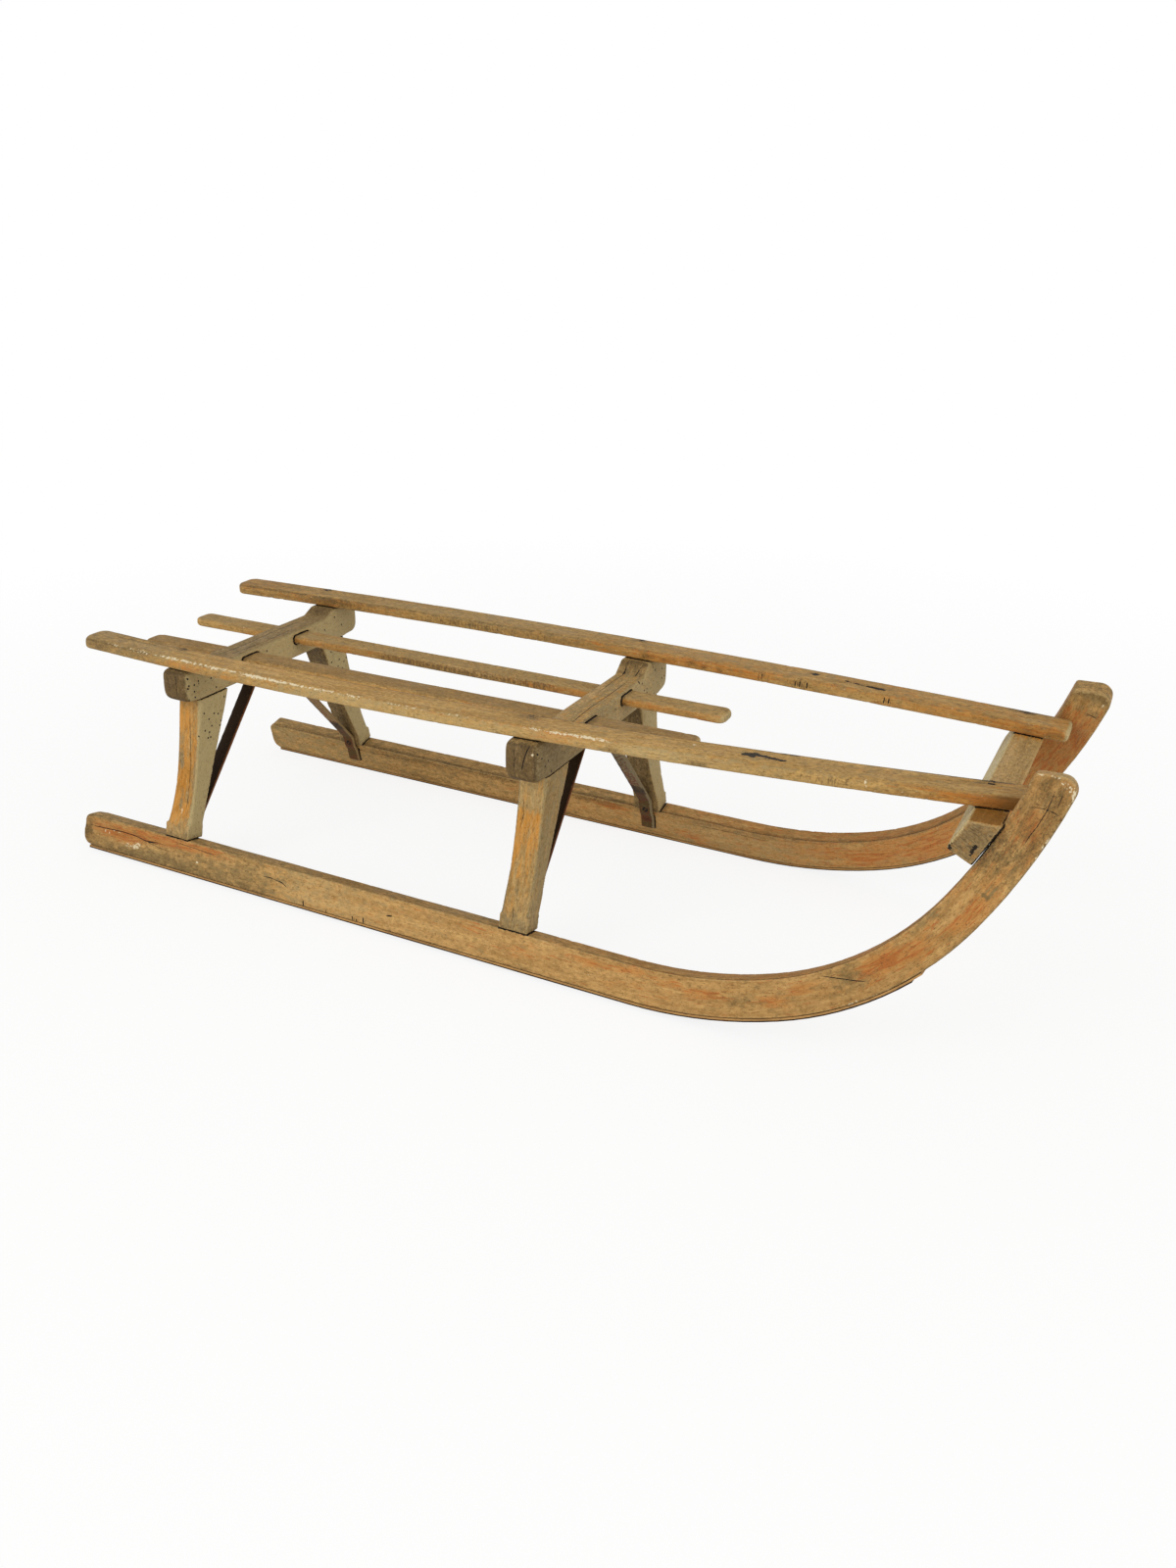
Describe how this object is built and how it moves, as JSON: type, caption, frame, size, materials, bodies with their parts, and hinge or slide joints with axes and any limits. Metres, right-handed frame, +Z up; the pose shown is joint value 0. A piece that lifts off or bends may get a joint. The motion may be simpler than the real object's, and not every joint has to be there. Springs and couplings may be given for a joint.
{
  "type": "wooden sled",
  "caption": "Low wooden snow sled with upswept bent runners, splayed legs, morticed crossbars, a slatted seat, steel soles and steel strap braces",
  "frame": {"origin": "middle of the bounding box footprint, on the floor under the soles", "axes": "X forward to the upswept runner tips, Y to the sled's left, Z up"},
  "size_m": [1.01, 0.35, 0.2815],
  "materials": {
    "bent_wood": "old varnished ash, worn and greyed",
    "frame_wood": "old varnished hardwood, dirty and greyed",
    "slat_wood": "old varnished ash, worn bare on the upper edges",
    "sole_steel": "worn and rusted flat steel",
    "strap_steel": "rusted flat steel"
  },
  "bodies": {
    "root": {"runner_left": "bent_wood", "runner_right": "bent_wood", "sole_strip_left": "bent_wood", "sole_strip_right": "bent_wood", "sole_band_left": "sole_steel", "sole_band_right": "sole_steel", "leg_rear_left": "frame_wood", "leg_rear_right": "frame_wood", "leg_front_left": "frame_wood", "leg_front_right": "frame_wood", "crossbar_rear": "frame_wood", "crossbar_front": "frame_wood", "front_rail": "frame_wood", "slat_outer_left": "slat_wood", "slat_outer_right": "slat_wood", "slat_inner_left": "slat_wood", "slat_inner_right": "slat_wood", "brace_rear": "strap_steel", "brace_front": "strap_steel"}
  },
  "joints": []
}
